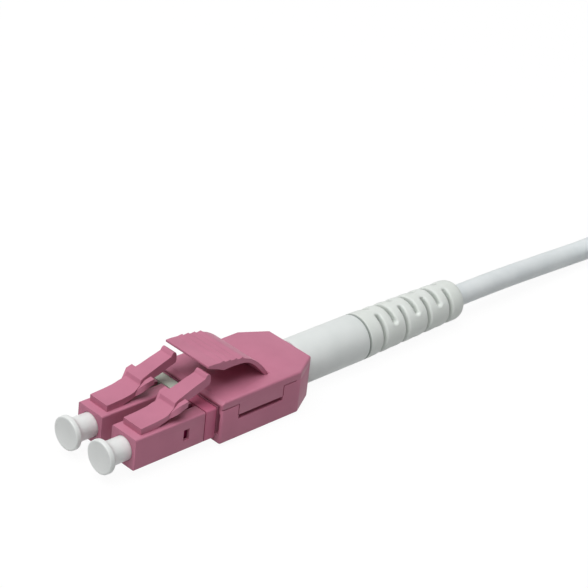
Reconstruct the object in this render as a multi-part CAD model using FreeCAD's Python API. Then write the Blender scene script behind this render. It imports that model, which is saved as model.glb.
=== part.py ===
"""Duplex small-form fibre connector on a round cable: two plugs held in one rear housing.

The plugs' front face is at x = 0 and the ferrules' axes are at z = 0 while a piece is
drawn.  Each piece is then moved so that the sleeve's underside lies on z = 0 and the
connector is centred on the origin.  +X runs from the ferrules to the cable.
"""
import FreeCAD, Part
import math
import os

V = FreeCAD.Vector
os.makedirs("parts", exist_ok=True)

# ------------------------------------------------------------------ driving sizes, mm
FIT = 0.05                      # gap round a piece that slides or turns in another
SEAM = 0.06                     # gap between two mouldings that close on each other
SIDES = {"right": -1, "left": 1}

# plug housing
PITCH = 6.25                    # between the two ferrule axes
PLUG_LENGTH = 10.9
PLUG_WIDTH = 4.4
PLUG_HEIGHT = 4.3
PLUG_EDGE = 0.25                # rounding of the long edges
NOSE_BORE_R = 1.62              # front bore, for the adapter's sleeve or the dust cap
NOSE_BORE_DEPTH = 1.9
WEB = 0.7                       # shoulder that the ferrule flange seats on
WEB_HOLE_R = 1.0
SPRING_BORE_R = 1.7
SOCKET_DEPTH = 4.0              # square socket for the rear body
SOCKET_WALL = 0.45
WINDOW_BACK = 3.3               # window for the rear body's catch, from the plug's rear
WINDOW_LENGTH = 0.9
WINDOW_HEIGHT = 1.55
KEYWAY = 0.7                    # slot in the top wall, open to the rear
KEYWAY_LENGTH = 3.7

# latch, heights over the plug's top
LATCH_X = 1.25
LATCH_WIDTH = 3.2
LATCH_STEP = 0.9                # front block
UNDERCUT_X = 3.4                # where the underside leaves the plug
FLEX_X = 4.6                    # flexure, where the lever bends
FLEX_RISE = 0.75
FLEX_R = 0.4                    # half the thickness there
LUG_REAR = 8.0
LUG_START = 5.3
LUG_SPAN = 4.3                  # across both lugs
LUG_START_TOP = 0.95
LUG_FRONT_TOP = 2.2
LUG_TOP = 2.53
LUG_UNDER = 1.78
LUG_STEP = 0.05                 # the lugs reach this far below the lever
CREASE_X = 6.95                 # where the lever's curve meets its straight arm
CREASE_RISE = 2.48
NARROW_X = 5.7                  # the lever narrows from here to the crease
ARM_WIDTH = 2.3
ARM_KNEE = 1.5                  # the arm's underside turns up this far behind the lugs
ARM_KNEE_RISE = 2.0
TIP_WIDTH = 2.0
TIP_SHORT = 0.2                 # the tip ends this far ahead of the collar's rear
LIP_LENGTH = 0.9                # from the end lip's foot to the tip
LIP_RISE = 3.92
LIP_HEIGHT = 0.6
ARM_THICKNESS = 1.2

# rear body of each plug
COLLAR_LENGTH = 1.8
COLLAR_GAP = 0.08               # seam line between plug and collar
NOSE_GAP = 0.3                  # its nose stops short of the socket's floor
CATCH_STEP = 0.3                # catch lies this far below the plug's side
SPRING_SEAT = 0.7
NOSE_BORE_GAP = 0.08            # round the spring
TUBE_HOLE_R = 1.0
NECK_HEIGHT = 3.4
KEY_HEIGHT = 3.6
KEY_STEP = 0.4                  # the key is this much wider than the neck on each side
KEY_LENGTH = 1.1

# ferrule assembly
FERRULE_R = 0.625
FERRULE_PROUD = 2.3
FERRULE_GRIP = 1.6              # length held in the flange
FERRULE_CHAMFER = 0.15
FLANGE_HEAD_R = 1.5
FLANGE_TUBE_R = 0.85
FLANGE_TUBE_BORE = 0.55
FLANGE_TUBE_LENGTH = 4.25
SPRING_R = 1.25                 # mean radius
SPRING_WIRE_R = 0.17
SPRING_TURNS = 6
FIBRE_R = 0.45
FIBRE_START = 5.6
FIBRE_PAIR = 1.0                # spacing of the two fibres in the crimp body
FIBRE_BEND_START = 2.9          # behind the housing's front
FIBRE_BEND_END = 0.6            # ahead of the housing's rear block

# dust cap
CAP_PROUD = 3.64                # front of the flange ahead of the plug
CAP_FLANGE_R = 2.2
CAP_FLANGE = 0.6
CAP_STEM_R = 1.55
CAP_NECK = 1.1                  # length of the flare behind the flange
CAP_SEAT = 1.6                  # stem inside the plug
CAP_END = 0.9                   # closed end ahead of the ferrule's bore
CAP_BORE_R = 0.68

# rear housing
HOUSING_GAP = 0.4               # between collars and housing
HOUSING_LENGTH = 16.9
HOUSING_WIDTH = 11.9
HOUSING_TOP = 2.95
HOUSING_BELOW = 3.05
HOUSING_EDGE = 0.3
COVER_CHAMFER = 0.45            # cover's front top edge
CORNER_LENGTH = 3.7             # rear corners cut away
REAR_WIDTH = 7.7
COVER = 1.1                     # plate of the upper cover
FLOOR = 1.0
FRONT_WALL = 1.0
SIDE_WALL = 1.7
KEY_POCKET_WALL = 0.6
REAR_BLOCK = 4.4
TONGUE_X = 2.9                  # behind the housing's front
TONGUE_LENGTH = 7.35
TONGUE_DROP = 1.5
TONGUE_WALL = 0.85
SLOT_HEIGHT = 0.62              # open slot below the tongue
HOOK = 0.25
HOOK_HEIGHT = 0.5

# trigger tab
TAB_WIDTH = 7.8
TAB_OVERHANG = 1.1              # the pad stands this far ahead of the housing
TAB_GAP = 0.3                   # between latch lips and the pad's underside
TAB_SLOPE = 0.075               # the pad's top falls this much for each mm
PAD_LENGTH = 5.6
PAD_EDGE = 0.28
PAD_WEDGE = 2.7                 # front edge to the thickest place
PAD_THICKNESS = 1.15
TAB_THICKNESS = 0.56
TAB_ROOT_BACK = 9.35            # behind the housing's front
TAB_LEAN = 64.0                 # degrees, of the strip where it leaves the cover
RIB_COUNT = 4
RIB_PITCH = 1.15
RIB_START = 1.45
RIB_HEIGHT = 0.2

# crimp, on the cable's axis
CORD_DROP = 0.2                 # below the ferrules' axes
CRIMP_FLANGE_R = 2.45
CRIMP_FLANGE = 1.0
CRIMP_FLANGE_X = 1.0            # behind the rear block's face
CRIMP_R = 2.0
CRIMP_BORE_R = 1.1
CRIMP_NECK = 7.0                # stands out of the housing
YARN = 0.2
RING_FRONT_GAP = 1.0
RING_WALL = 0.24
RING_STEP = 0.5
RING_TAIL = 2.6

# sleeve, boot and cable
SLEEVE_R = 3.2
SLEEVE_WALL = 0.48
SLEEVE_LENGTH = 12.0
BOOT_LENGTH = 20.3
BOOT_END_R = 2.85
BOOT_ROUND = 0.9
BOOT_SPIGOT = 1.8
BOOT_SLOT = 0.95
BOOT_SLOT_X = 2.95
BOOT_SLOT_PITCH = 4.37
SIDE_SLOTS = 4
TOP_SLOTS = 3
SIDE_SLOT_HALF = 75.0           # degrees each side of the slot's middle
TOP_SLOT_HALF = 55.0
CABLE_R = 1.5
CABLE_CLEAR = 0.05
HANK_X = 73.0                   # middle of the near fold, in the finished part's frame
HANK_Y = -9.0
HANK_RUN = 35.5                 # between the middles of the two folds
HANK_R = 10.6                   # of a fold, to the middle of the turns
HANK_TURNS_WIDE = 2
HANK_TURNS_HIGH = 4

# ------------------------------------------------------------------ places that follow
PLUG_TOP = PLUG_HEIGHT / 2
WINDOW_X = PLUG_LENGTH - WINDOW_BACK
COLLAR_REAR = PLUG_LENGTH + COLLAR_LENGTH
TIP_X = COLLAR_REAR - TIP_SHORT
LIP_X = TIP_X - LIP_LENGTH
HOUSING_X = COLLAR_REAR + HOUSING_GAP
HOUSING_REAR = HOUSING_X + HOUSING_LENGTH
BLOCK_X = HOUSING_REAR - REAR_BLOCK
KEY_WIDTH = HOUSING_WIDTH - 2 * (KEY_POCKET_WALL + SEAM) - PITCH
NECK_WIDTH = KEY_WIDTH - 2 * KEY_STEP
FIBRE_BEND_X = HOUSING_X + FIBRE_BEND_START
FIBRE_BEND = BLOCK_X - FIBRE_BEND_END - FIBRE_BEND_X
SEAM_Z = HOUSING_TOP - COVER
FLANGE_FRONT = NOSE_BORE_DEPTH + WEB + FIT
FLANGE_BACK = FLANGE_FRONT + FERRULE_GRIP
SPRING_END = PLUG_LENGTH - SPRING_SEAT
RING_FRONT = HOUSING_REAR + RING_FRONT_GAP
CRIMP_END = HOUSING_REAR + CRIMP_NECK
RING_END = CRIMP_END + RING_STEP + RING_TAIL
JACKET_X = CRIMP_END + 0.3
SLEEVE_REAR = HOUSING_REAR + SLEEVE_LENGTH
BOOT_REAR = SLEEVE_REAR + BOOT_LENGTH
AXIS_Z = max(HOUSING_BELOW, SLEEVE_R + CORD_DROP)   # of the ferrules, in the finished part
SHIFT = V((CAP_PROUD - BOOT_REAR) / 2, 0, AXIS_Z)
CORD_AXIS = V(0, 0, -CORD_DROP)
BOOT_TIP = BOOT_REAR + SHIFT.x
CORD_Z = AXIS_Z - CORD_DROP
TAB_FRONT_X = HOUSING_X - TAB_OVERHANG
TAB_ROOT_X = HOUSING_X + TAB_ROOT_BACK
TAB_ROOT_R = TAB_THICKNESS / 2
TAB_ROOT_Z = HOUSING_TOP + TAB_ROOT_R * math.cos(math.radians(TAB_LEAN))

# The cable's way from the boot to the hank, in the finished part's frame.
CABLE_ROUTE = [
    (BOOT_TIP, 0.0, CORD_Z),
    (40.5, 0.0, CORD_Z),
    (53.5, 0.35, 2.35),
    (65.5, 0.45, 1.7),
    (74.5, 3.0, 1.52),
]


# ------------------------------------------------------------------ drawing helpers
def block(x0, x1, y0, y1, z0, z1):
    return Part.makeBox(x1 - x0, y1 - y0, z1 - z0, V(x0, y0, z0))


def centred(x0, x1, width, z0, z1):
    return block(x0, x1, -width / 2, width / 2, z0, z1)


def rod(x0, x1, radius):
    return Part.makeCylinder(radius, x1 - x0, V(x0, 0, 0), V(1, 0, 0))


def cross_rod(x, z, radius, width):
    return Part.makeCylinder(radius, width, V(x, -width / 2, z), V(0, 1, 0))


def outline(start, *steps):
    """A closed face in the XZ plane.  A step is a point, or ("arc", through, end), or
    ("curve", pole, pole, end)."""
    at, edges = start, []
    for step in steps + (start,):
        kind = step[0] if isinstance(step[0], str) else "line"
        end = step if kind == "line" else step[-1]
        points = [V(p[0], 0, p[1]) for p in [at] + ([end] if kind == "line" else list(step[1:]))]
        if points[0].distanceToPoint(points[-1]) < 1e-9:
            continue
        if kind == "line":
            edges.append(Part.LineSegment(*points).toShape())
        elif kind == "arc":
            edges.append(Part.Arc(*points).toShape())
        else:
            curve = Part.BezierCurve()
            curve.setPoles(points)
            edges.append(curve.toShape())
        at = end
    return Part.Face(Part.Wire(edges))


def across(face, width):
    """Extrude an XZ outline evenly to both sides of y = 0."""
    return face.translated(V(0, -width / 2, 0)).extrude(V(0, width, 0))


def turned(face):
    return face.revolve(V(0, 0, 0), V(1, 0, 0), 360)


def plan(points, z0, z1):
    """A prism over a half outline (x, y), mirrored to the other side."""
    ring = [V(x, y, z0) for x, y in points] + [V(x, -y, z0) for x, y in reversed(points)]
    return Part.Face(Part.makePolygon(ring + ring[:1])).extrude(V(0, 0, z1 - z0))


def edges_where(shape, test):
    return [e for e in shape.Edges if test(e)]


def along_x(edge):
    box = edge.BoundBox
    return box.XLength > 1e-4 and box.YLength < 1e-6 and box.ZLength < 1e-6


def save(name, shape, moved=True):
    shape = shape.removeSplitter()
    if moved:
        shape = shape.translated(SHIFT)
    assert shape.isValid() and shape.Volume > 0, name
    shape.exportStep("parts/%s.step" % name)
    print("%-24s solids %d volume %.3f" % (name, len(shape.Solids), shape.Volume))
    return shape


def at_plug(shape, side):
    return shape.translated(V(0, SIDES[side] * PITCH / 2, 0))


# ------------------------------------------------------------------ plug housing
FLEX_Z = PLUG_TOP + FLEX_RISE


def rounded_bar(x0, x1):
    """The plug's outside section, which the rear body's collar carries on."""
    bar = centred(x0, x1, PLUG_WIDTH, -PLUG_TOP, PLUG_TOP)
    return bar.makeFillet(PLUG_EDGE, edges_where(bar, along_x))


def latch_root():
    """The fixed front of the latch, up to the pocket that the lever turns in."""
    top = PLUG_TOP + LATCH_STEP
    face = outline(
        (LATCH_X, 0),
        (LATCH_X, top),
        (FLEX_X, FLEX_Z + FLEX_R),
        (FLEX_X, FLEX_Z - FLEX_R),
        (UNDERCUT_X, PLUG_TOP),
        (UNDERCUT_X, 0),
    )
    root = across(face, LATCH_WIDTH)
    return root.cut(cross_rod(FLEX_X, FLEX_Z, FLEX_R + FIT, LATCH_WIDTH + 1))


def plug_housing():
    body = rounded_bar(0, PLUG_LENGTH).fuse(latch_root())
    web_end = NOSE_BORE_DEPTH + WEB
    socket_x = PLUG_LENGTH - SOCKET_DEPTH
    socket = PLUG_WIDTH - 2 * SOCKET_WALL
    socket_z = PLUG_TOP - SOCKET_WALL
    for hollow in (
        rod(-1, NOSE_BORE_DEPTH, NOSE_BORE_R),
        rod(0, web_end + 1, WEB_HOLE_R),
        rod(web_end, socket_x + 1, SPRING_BORE_R),
        centred(socket_x, PLUG_LENGTH + 1, socket, -socket_z, socket_z),
        centred(WINDOW_X, WINDOW_X + WINDOW_LENGTH, PLUG_WIDTH + 1,
                -WINDOW_HEIGHT / 2, WINDOW_HEIGHT / 2),
        centred(PLUG_LENGTH - KEYWAY_LENGTH, PLUG_LENGTH + 1, KEYWAY, 0, PLUG_TOP + 1),
    ):
        body = body.cut(hollow)
    return body


# ------------------------------------------------------------------ latch lever
def lever_underside(drop):
    """From the lugs' rear face forward to the flexure, lowered by drop."""
    under_z = PLUG_TOP + LUG_UNDER - drop
    flex_z = FLEX_Z - FLEX_R - drop
    span = LUG_REAR - FLEX_X
    return [
        (LUG_REAR, under_z),
        ("curve", (LUG_REAR - span * 0.4, under_z - span * 0.2),
         (FLEX_X + span * 0.3, flex_z + span * 0.08), (FLEX_X, flex_z)),
    ]


def lever_arm():
    """Curved lever from its flexure back: crease, straight arm, and a lip at the free end."""
    flex_top = FLEX_Z + FLEX_R
    crease_z = PLUG_TOP + CREASE_RISE
    run = CREASE_X - FLEX_X
    lip_z = PLUG_TOP + LIP_RISE
    side = across(outline(
        (FLEX_X, flex_top),
        ("curve", (FLEX_X + run * 0.35, flex_top), (CREASE_X - run * 0.34, crease_z - run * 0.34),
         (CREASE_X, crease_z)),
        (LIP_X, lip_z),
        (LIP_X + 0.22, lip_z + LIP_HEIGHT * 0.85),
        (LIP_X + 0.38, lip_z + LIP_HEIGHT),
        (LIP_X + 0.55, lip_z + LIP_HEIGHT * 0.95),
        ("curve", (TIP_X, lip_z + 0.25), (TIP_X + 0.15, lip_z - 0.3),
         (TIP_X - 0.15, lip_z + 0.15 - ARM_THICKNESS)),
        (LUG_REAR + ARM_KNEE, PLUG_TOP + ARM_KNEE_RISE),
        *lever_underside(0),
        ("arc", (FLEX_X - FLEX_R, FLEX_Z), (FLEX_X, flex_top)),
    ), LATCH_WIDTH)
    width = plan(
        [(FLEX_X - 1, LATCH_WIDTH / 2), (NARROW_X, LATCH_WIDTH / 2),
         (CREASE_X, ARM_WIDTH / 2), (TIP_X + 1, TIP_WIDTH / 2)], 0, lip_z + 2)
    return side.common(width)


def catch_lugs():
    """Wedge that widens the lever into its two lugs, with an upright rear face."""
    side = across(outline(
        (FLEX_X, FLEX_Z - FLEX_R / 2),
        (LUG_START, PLUG_TOP + LUG_START_TOP),
        (CREASE_X, PLUG_TOP + LUG_FRONT_TOP),
        (LUG_REAR, PLUG_TOP + LUG_TOP),
        *lever_underside(LUG_STEP),
    ), LUG_SPAN)
    start_half = LATCH_WIDTH / 2 - 0.1
    width = plan(
        [(LUG_START, start_half), (CREASE_X, LUG_SPAN / 2), (LUG_REAR + 1, LUG_SPAN / 2)],
        0, PLUG_TOP + LUG_TOP + 1)
    return side.common(width)


def latch():
    return lever_arm().fuse(catch_lugs())


# ------------------------------------------------------------------ rear body of a plug
def rear_body():
    """Collar that closes the plug, with a slotted nose, two side catches and a keyed neck."""
    nose_x = PLUG_LENGTH - SOCKET_DEPTH + NOSE_GAP
    nose_half = PLUG_WIDTH / 2 - SOCKET_WALL - FIT
    nose_z = PLUG_TOP - SOCKET_WALL - FIT
    proud = PLUG_WIDTH / 2 - CATCH_STEP
    key_x = HOUSING_X + FRONT_WALL + SEAM
    collar_x = PLUG_LENGTH + COLLAR_GAP
    body = rounded_bar(collar_x, COLLAR_REAR)
    body = body.fuse(centred(nose_x, collar_x, 2 * nose_half, -nose_z, nose_z))
    catch = plan(
        [(WINDOW_X + FIT, nose_half - 0.1), (WINDOW_X + WINDOW_LENGTH * 0.6, proud),
         (WINDOW_X + WINDOW_LENGTH - FIT, proud),
         (WINDOW_X + WINDOW_LENGTH - FIT, nose_half - 0.1)],
        -WINDOW_HEIGHT / 2 + FIT, WINDOW_HEIGHT / 2 - FIT)
    neck = centred(COLLAR_REAR, key_x, NECK_WIDTH, -NECK_HEIGHT / 2, NECK_HEIGHT / 2)
    key = centred(key_x, key_x + KEY_LENGTH, KEY_WIDTH, -KEY_HEIGHT / 2, KEY_HEIGHT / 2)
    for piece in (catch, neck, key):
        body = body.fuse(piece)
    body = body.cut(rod(nose_x - 1, SPRING_END, SPRING_R + SPRING_WIRE_R + NOSE_BORE_GAP))
    body = body.cut(centred(nose_x - 1, PLUG_LENGTH, KEYWAY, -PLUG_TOP, PLUG_TOP))
    return body.cut(rod(SPRING_END - 1, key_x + KEY_LENGTH + 1, TUBE_HOLE_R))


# ------------------------------------------------------------------ ferrule and spring
def ferrule():
    bar = rod(-FERRULE_PROUD, FLANGE_BACK, FERRULE_R)
    front = edges_where(bar, lambda e: abs(e.BoundBox.XMin + FERRULE_PROUD) < 1e-6
                        and e.BoundBox.XLength < 1e-6)
    return bar.makeChamfer(FERRULE_CHAMFER, front)


def ferrule_flange():
    """Hexagonal head round the ferrule, with a tube behind it for the fibre's buffer."""
    corners = [
        V(FLANGE_FRONT, FLANGE_HEAD_R * math.cos(a), FLANGE_HEAD_R * math.sin(a))
        for a in (math.radians(60 * i) for i in range(7))
    ]
    head = Part.Face(Part.makePolygon(corners)).extrude(V(FERRULE_GRIP, 0, 0))
    tube = rod(FLANGE_BACK, FLANGE_BACK + FLANGE_TUBE_LENGTH, FLANGE_TUBE_R)
    flange = head.fuse(tube)
    flange = flange.cut(rod(FLANGE_FRONT - 1, FLANGE_BACK, FERRULE_R))
    return flange.cut(rod(FLANGE_BACK - 1, FLANGE_BACK + FLANGE_TUBE_LENGTH + 1, FLANGE_TUBE_BORE))


def spring():
    """Round wire wound between the flange's head and the rear body's seat."""
    start = FLANGE_BACK + SPRING_WIRE_R + FIT
    length = SPRING_END - FIT - SPRING_WIRE_R - start
    path = Part.makeHelix(length / SPRING_TURNS, length, SPRING_R)
    section = Part.Wire(Part.makeCircle(SPRING_WIRE_R, V(SPRING_R, 0, 0), V(0, 1, 0)))
    coil = Part.Wire(path.Edges).makePipeShell([section], True, True)
    coil.rotate(V(0, 0, 0), V(0, 1, 0), 90)
    return coil.translated(V(start, 0, 0))


def fibre(side):
    """Buffered fibre: straight in the plug, then an S bend to its place in the crimp body."""
    y0 = SIDES[side] * PITCH / 2
    y1 = SIDES[side] * FIBRE_PAIR / 2
    rise = y1 - y0
    bend = (FIBRE_BEND ** 2 + rise ** 2) / (4 * abs(rise))
    half = FIBRE_BEND / 2
    turn = math.asin(half / bend)
    sign = math.copysign(1, rise)
    quarter = (bend * math.sin(turn / 2), sign * bend * (1 - math.cos(turn / 2)))
    a, b = FIBRE_BEND_X, FIBRE_BEND_X + FIBRE_BEND
    middle = V(a + half, y0 + rise / 2, 0)
    edges = [
        Part.LineSegment(V(FIBRE_START, y0, 0), V(a, y0, 0)).toShape(),
        Part.Arc(V(a, y0, 0), V(a + quarter[0], y0 + quarter[1], 0), middle).toShape(),
        Part.Arc(middle, V(b - quarter[0], y1 - quarter[1], 0), V(b, y1, 0)).toShape(),
        Part.LineSegment(V(b, y1, 0), V(JACKET_X, y1, 0)).toShape(),
    ]
    section = Part.Wire(Part.makeCircle(FIBRE_R, V(FIBRE_START, y0, 0), V(1, 0, 0)))
    return Part.Wire(edges).makePipeShell([section], True, False)


# ------------------------------------------------------------------ dust cap
def dust_cap():
    front = -CAP_PROUD
    back = front + CAP_FLANGE
    edge = CAP_FLANGE * 0.35
    face = outline(
        (front, 0),
        (front, CAP_FLANGE_R - edge),
        ("arc", (front + edge * 0.29, CAP_FLANGE_R - edge * 0.29), (front + edge, CAP_FLANGE_R)),
        (back, CAP_FLANGE_R - 0.05),
        ("curve", (back + 0.15, CAP_STEM_R + 0.12), (back + CAP_NECK * 0.6, CAP_STEM_R),
         (back + CAP_NECK, CAP_STEM_R)),
        (CAP_SEAT - 0.2, CAP_STEM_R),
        (CAP_SEAT, CAP_STEM_R - 0.2),
        (CAP_SEAT, CAP_BORE_R),
        (front + CAP_END, CAP_BORE_R),
        (front + CAP_END - CAP_BORE_R * 0.4, 0),
    )
    return turned(face)


# ------------------------------------------------------------------ rear housing
def housing_outline(z0, z1, inset=0.0):
    half = HOUSING_WIDTH / 2 - inset
    return plan(
        [(HOUSING_X + inset, half), (HOUSING_REAR - CORNER_LENGTH, half),
         (HOUSING_REAR - inset, REAR_WIDTH / 2 - inset * 0.5)], z0, z1)


def tongue_place(gap):
    """Corners in x of a side tongue, grown by a gap."""
    x0 = HOUSING_X + TONGUE_X
    return x0 - gap, x0 + TONGUE_LENGTH + gap


def lower_body():
    floor_z = -HOUSING_BELOW
    body = housing_outline(floor_z, SEAM_Z)
    upright = edges_where(body, lambda e: e.BoundBox.ZLength > 1)
    bottom = edges_where(body, lambda e: abs(e.BoundBox.ZMax - floor_z) < 1e-6)
    body = body.makeFillet(HOUSING_EDGE, upright + bottom)
    inside = HOUSING_WIDTH / 2 - SIDE_WALL
    pocket = HOUSING_WIDTH - 2 * KEY_POCKET_WALL
    cavity_z = floor_z + FLOOR
    pocket_x = HOUSING_X + FRONT_WALL
    pocket_end = pocket_x + 2 * SEAM + KEY_LENGTH
    body = body.cut(centred(pocket_x, pocket_end, pocket, cavity_z, SEAM_Z + 1))
    body = body.cut(centred(pocket_end - 0.5, BLOCK_X, 2 * inside, cavity_z, SEAM_Z + 1))
    neck = NECK_WIDTH / 2 + SEAM
    neck_floor = -NECK_HEIGHT / 2 - SEAM
    for side in SIDES:
        slot = block(HOUSING_X - 1, pocket_x + 1, -neck, neck, neck_floor, SEAM_Z + 1)
        body = body.cut(at_plug(slot, side))
    for radius, x0, x1 in crimp_seats():
        body = body.cut(rod(x0, x1, radius).translated(CORD_AXIS))
        body = body.cut(centred(x0, x1, 2 * radius, -CORD_DROP, SEAM_Z + 1))
    x0, x1 = tongue_place(SEAM)
    outer = HOUSING_WIDTH / 2
    slot_z = SEAM_Z - TONGUE_DROP - SLOT_HEIGHT
    for sign in (-1, 1):
        inner = sign * (outer - TONGUE_WALL - SEAM)
        low, high = sorted((inner, sign * (outer + 1)))
        body = body.cut(block(x0, x1, low, high, slot_z, SEAM_Z + 1))
        low, high = sorted((sign * (inside - 1), sign * outer))
        body = body.cut(block(x0, x1, low, high, slot_z, slot_z + SLOT_HEIGHT))
        low, high = sorted((inner, inner - sign * (HOOK + SEAM)))
        hook_z = SEAM_Z - TONGUE_DROP
        body = body.cut(block(x0 + 1 - SEAM, x1 - 1 + SEAM, low, high,
                              hook_z - SEAM, hook_z + HOOK_HEIGHT + SEAM))
    return body


def crimp_seats():
    """Radius and ends of the bores that hold the crimp body's tube and flange."""
    flange_x = BLOCK_X + CRIMP_FLANGE_X
    return (
        (CRIMP_R + SEAM, BLOCK_X - 1, HOUSING_REAR + 1),
        (CRIMP_FLANGE_R + SEAM, flange_x - SEAM, flange_x + CRIMP_FLANGE + SEAM),
    )


def upper_cover():
    body = housing_outline(SEAM_Z, HOUSING_TOP)
    upright = edges_where(body, lambda e: e.BoundBox.ZLength > 0.5)
    top = edges_where(body, lambda e: abs(e.BoundBox.ZMin - HOUSING_TOP) < 1e-6)
    body = body.makeFillet(HOUSING_EDGE, upright + top)
    for radius, x0, x1 in crimp_seats():
        body = body.cut(rod(x0, x1, radius).translated(CORD_AXIS))
    corner = HOUSING_TOP - COVER_CHAMFER
    body = body.cut(across(outline(
        (HOUSING_X - 1, corner), (HOUSING_X, corner), (HOUSING_X + COVER_CHAMFER, HOUSING_TOP),
        (HOUSING_X + COVER_CHAMFER, HOUSING_TOP + 1), (HOUSING_X - 1, HOUSING_TOP + 1),
    ), HOUSING_WIDTH + 1))
    x0, x1 = tongue_place(0)
    outer = HOUSING_WIDTH / 2
    low_z = SEAM_Z - TONGUE_DROP
    for sign in (-1, 1):
        inner = sign * (outer - TONGUE_WALL)
        low, high = sorted((inner, sign * outer))
        body = body.fuse(block(x0, x1, low, high, low_z, SEAM_Z + 0.2))
        hook = Part.Face(Part.makePolygon([
            V(x0 + 1, inner, low_z), V(x0 + 1, inner - sign * HOOK, low_z + HOOK_HEIGHT * 0.6),
            V(x0 + 1, inner - sign * HOOK, low_z + HOOK_HEIGHT),
            V(x0 + 1, inner, low_z + HOOK_HEIGHT), V(x0 + 1, inner, low_z),
        ])).extrude(V(TONGUE_LENGTH - 2, 0, 0))
        body = body.fuse(hook)
    return body.cut(cross_rod(TAB_ROOT_X, TAB_ROOT_Z, TAB_ROOT_R + FIT, TAB_WIDTH + 4 * FIT))


# ------------------------------------------------------------------ trigger tab
def trigger_tab():
    """Arched strip over the latches: ribbed pad in front, root in the cover behind."""
    lip_top = PLUG_TOP + LIP_RISE + LIP_HEIGHT
    front_z = lip_top + TAB_GAP + PAD_EDGE + 0.2
    rear_x = TAB_FRONT_X + PAD_LENGTH
    rear_z = front_z - TAB_SLOPE * PAD_LENGTH
    wedge_x = TAB_FRONT_X + PAD_WEDGE
    wedge_z = front_z - TAB_SLOPE * PAD_WEDGE - PAD_THICKNESS
    lean = math.radians(TAB_LEAN)
    out = (TAB_ROOT_R * math.sin(lean), TAB_ROOT_R * math.cos(lean))
    root_top = (TAB_ROOT_X + out[0], TAB_ROOT_Z + out[1])
    root_low = (TAB_ROOT_X - out[0], TAB_ROOT_Z - out[1])
    tail = (TAB_ROOT_X + out[1], TAB_ROOT_Z - out[0])
    run = TAB_ROOT_X - rear_x
    rise = rear_z - HOUSING_TOP
    top = [
        (rear_x, rear_z),
        ("curve", (rear_x + run * 0.42, rear_z - rise * 0.08),
         (root_top[0] - run * 0.26, root_top[1] + rise * 0.6), root_top),
    ]
    under = [
        ("arc", tail, root_low),
        ("curve", (root_low[0] - run * 0.26, root_low[1] + rise * 0.6),
         (rear_x + run * 0.38, rear_z - rise * 0.08 - TAB_THICKNESS),
         (rear_x, rear_z - TAB_THICKNESS * 1.25)),
        (wedge_x, wedge_z),
        (TAB_FRONT_X, front_z - PAD_EDGE),
    ]
    tab = across(outline((TAB_FRONT_X, front_z), *top, *under), TAB_WIDTH)
    for i in range(RIB_COUNT):
        x = TAB_FRONT_X + RIB_START + i * RIB_PITCH
        z = front_z - TAB_SLOPE * (x - TAB_FRONT_X) - 0.05
        rib = outline((x, z), (x + RIB_PITCH * 0.75, z + RIB_HEIGHT),
                      (x + RIB_PITCH * 0.95, z - 0.1), (x, z - 0.2))
        tab = tab.fuse(across(rib, TAB_WIDTH))
    return tab


# ------------------------------------------------------------------ crimp
def crimp_body():
    flange_x = BLOCK_X + CRIMP_FLANGE_X
    body = rod(BLOCK_X, CRIMP_END, CRIMP_R)
    body = body.fuse(rod(flange_x, flange_x + CRIMP_FLANGE, CRIMP_FLANGE_R))
    return body.cut(rod(BLOCK_X - 1, CRIMP_END + 1, CRIMP_BORE_R))


def aramid_yarn():
    """The cable's strength yarn, folded back over the crimp body and held by the ring."""
    return rod(RING_FRONT, CRIMP_END, CRIMP_R + YARN - 0.01).cut(
        rod(RING_FRONT - 1, CRIMP_END + 1, CRIMP_R + 0.01))


def crimp_ring():
    bore = CRIMP_R + YARN
    tail = CABLE_R + 0.02
    step_x = CRIMP_END + RING_STEP
    face = outline(
        (RING_FRONT, bore), (RING_FRONT, bore + RING_WALL), (CRIMP_END, bore + RING_WALL),
        (step_x, tail + RING_WALL), (RING_END, tail + RING_WALL), (RING_END, tail),
        (step_x, tail), (CRIMP_END + 0.05, bore))
    return turned(face)


# ------------------------------------------------------------------ sleeve and boot
def boot_sleeve():
    return rod(HOUSING_REAR, SLEEVE_REAR, SLEEVE_R).cut(
        rod(HOUSING_REAR - 1, SLEEVE_REAR + 1, SLEEVE_R - SLEEVE_WALL))


def boot_slot(x, middle, half):
    """Round-ended slot through the boot's wall; angles run about +X from +Y to +Z."""
    r = BOOT_SLOT / 2
    reach = SLEEVE_R + 0.5
    inner = CABLE_R + CABLE_CLEAR - 0.1
    swing = half - math.degrees(r / SLEEVE_R)
    face = outline((x - r, inner), (x - r, reach), (x + r, reach), (x + r, inner))
    slot = face.revolve(V(0, 0, 0), V(1, 0, 0), 2 * swing)  # starts at +Z, 90 degrees
    slot.rotate(V(0, 0, 0), V(1, 0, 0), middle - swing - 90)
    for end in (middle - swing, middle + swing):
        way = V(0, math.cos(math.radians(end)), math.sin(math.radians(end)))
        slot = slot.fuse(Part.makeCylinder(r, reach - inner, V(x, 0, 0) + way * inner, way))
    return slot


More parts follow.
